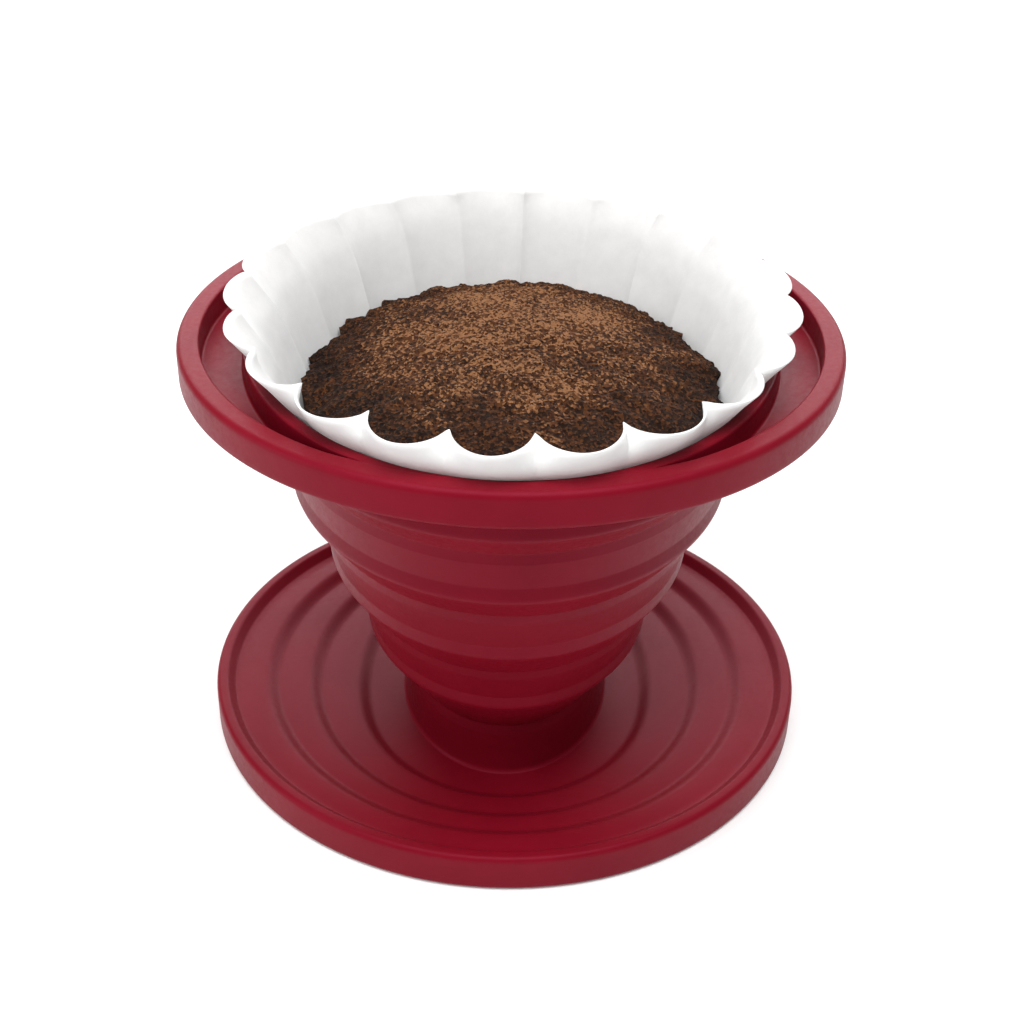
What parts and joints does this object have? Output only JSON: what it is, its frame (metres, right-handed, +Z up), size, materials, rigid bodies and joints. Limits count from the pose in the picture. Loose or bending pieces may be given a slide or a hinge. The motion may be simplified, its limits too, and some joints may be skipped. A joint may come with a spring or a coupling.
{
  "type": "pour over dripper",
  "caption": "Collapsible silicone pour-over coffee dripper with saucer base, bellows cone and finger-tray rim, holding a pleated paper filter of ground coffee.",
  "frame": {"origin": "centre of the saucer's flat underside", "axes": "+Z up through the cone's mouth, +X to the right finger tray, -Y to the front; the oval mouth's long axis is Y"},
  "size_m": [0.1222, 0.1222, 0.0908],
  "materials": {
    "silicone": "satin, slightly dusty moulded silicone",
    "filter_paper": "matt white, slightly translucent",
    "ground_coffee": "matt granular"
  },
  "bodies": {
    "base": {"saucer_floor": "silicone", "saucer_edge": "silicone", "outlet_neck": "silicone", "outlet_floor": "silicone", "lower_fold": "silicone"},
    "lower": {"lower_band": "silicone", "middle_fold": "silicone"},
    "middle": {"middle_band": "silicone", "upper_fold": "silicone"},
    "upper": {"upper_band": "silicone", "top_fold": "silicone"},
    "rim": {"mouth_funnel": "silicone", "mouth_lip": "silicone", "rim_ring": "silicone", "finger_tray_left": "silicone", "finger_tray_right": "silicone"},
    "filter": {"paper_filter": "filter_paper", "coffee_grounds": "ground_coffee"}
  },
  "joints": [
    {"name": "collapse_lower", "type": "slide", "parent": "base", "child": "lower", "axis": [0, 0, -1], "range_m": [0, 0.018], "deforming": ["lower_fold"]},
    {"name": "collapse_middle", "type": "slide", "parent": "lower", "child": "middle", "axis": [0, 0, -1], "range_m": [0, 0.0132], "deforming": ["middle_fold"]},
    {"name": "collapse_upper", "type": "slide", "parent": "middle", "child": "upper", "axis": [0, 0, -1], "range_m": [0, 0.0112], "deforming": ["upper_fold"]},
    {"name": "collapse_top", "type": "slide", "parent": "upper", "child": "rim", "axis": [0, 0, -1], "range_m": [0, 0.0104], "deforming": ["top_fold"]},
    {"name": "filter_lift", "type": "slide", "parent": "base", "child": "filter", "axis": [0, 0, 1], "range_m": [0, 0.08]}
  ],
  "couplings": [
    {"joint": "collapse_middle", "follows": "collapse_lower", "ratio": 0.73333},
    {"joint": "collapse_upper", "follows": "collapse_lower", "ratio": 0.62222},
    {"joint": "collapse_top", "follows": "collapse_lower", "ratio": 0.57778}
  ]
}
